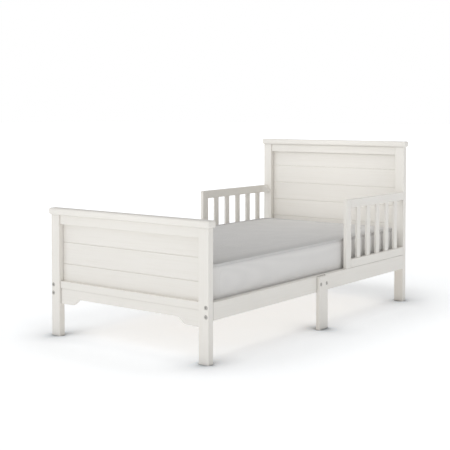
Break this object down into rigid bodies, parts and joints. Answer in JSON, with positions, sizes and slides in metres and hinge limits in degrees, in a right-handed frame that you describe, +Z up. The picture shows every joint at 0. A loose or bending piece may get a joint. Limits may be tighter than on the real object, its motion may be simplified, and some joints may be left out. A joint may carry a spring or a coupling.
{
  "type": "toddler bed",
  "caption": "Low toddler bed with a panelled headboard and footboard, flat caps, slatted guards at the head end, side rails on a centre leg each side, and a mattress.",
  "frame": {"origin": "floor level under the middle of the bed", "axes": "+Y toward the headboard, +X toward the right-hand side rail seen from the foot, +Z up"},
  "size_m": [0.776, 1.427, 0.707],
  "materials": {
    "painted_wood": "off-white satin paint",
    "bare_wood": "planed, unpainted",
    "bolt_steel": "satin nickel",
    "mattress_cover": "matt woven cover"
  },
  "bodies": {
    "frame": {"bed_slat_1": "bare_wood", "bed_slat_2": "bare_wood", "bed_slat_3": "bare_wood", "bed_slat_4": "bare_wood", "bed_slat_5": "bare_wood", "bed_slat_6": "bare_wood", "centre_leg_left": "painted_wood", "centre_leg_right": "painted_wood", "cleat_left": "bare_wood", "cleat_right": "bare_wood", "foot_apron": "painted_wood", "foot_bolt_left_lower": "bolt_steel", "foot_bolt_left_upper": "bolt_steel", "foot_bolt_right_lower": "bolt_steel", "foot_bolt_right_upper": "bolt_steel", "foot_bottom_rail": "painted_wood", "foot_cap": "painted_wood", "foot_plank_1": "painted_wood", "foot_plank_2": "painted_wood", "foot_plank_3": "painted_wood", "foot_post_left": "painted_wood", "foot_post_right": "painted_wood", "foot_top_rail": "painted_wood", "guard_left_bottom_rail": "painted_wood", "guard_left_slat_1": "painted_wood", "guard_left_slat_2": "painted_wood", "guard_left_slat_3": "painted_wood", "guard_left_slat_4": "painted_wood", "guard_left_slat_5": "painted_wood", "guard_left_stile": "painted_wood", "guard_left_top_rail": "painted_wood", "guard_right_bottom_rail": "painted_wood", "guard_right_slat_1": "painted_wood", "guard_right_slat_2": "painted_wood", "guard_right_slat_3": "painted_wood", "guard_right_slat_4": "painted_wood", "guard_right_slat_5": "painted_wood", "guard_right_stile": "painted_wood", "guard_right_top_rail": "painted_wood", "head_bottom_rail": "painted_wood", "head_cap": "painted_wood", "head_plank_1": "painted_wood", "head_plank_2": "painted_wood", "head_plank_3": "painted_wood", "head_plank_4": "painted_wood", "head_plank_5": "painted_wood", "head_plank_6": "painted_wood", "head_post_left": "painted_wood", "head_post_right": "painted_wood", "head_top_rail": "painted_wood", "leg_bolt_left_foot": "bolt_steel", "leg_bolt_left_head": "bolt_steel", "leg_bolt_right_foot": "bolt_steel", "leg_bolt_right_head": "bolt_steel", "side_rail_foot_left": "painted_wood", "side_rail_foot_right": "painted_wood", "side_rail_head_left": "painted_wood", "side_rail_head_right": "painted_wood"},
    "mattress": {"mattress": "mattress_cover"}
  },
  "joints": [
    {"name": "mattress_lift", "type": "slide", "parent": "frame", "child": "mattress", "axis": [0, 0, 1], "range_m": [0, 0.36]}
  ]
}
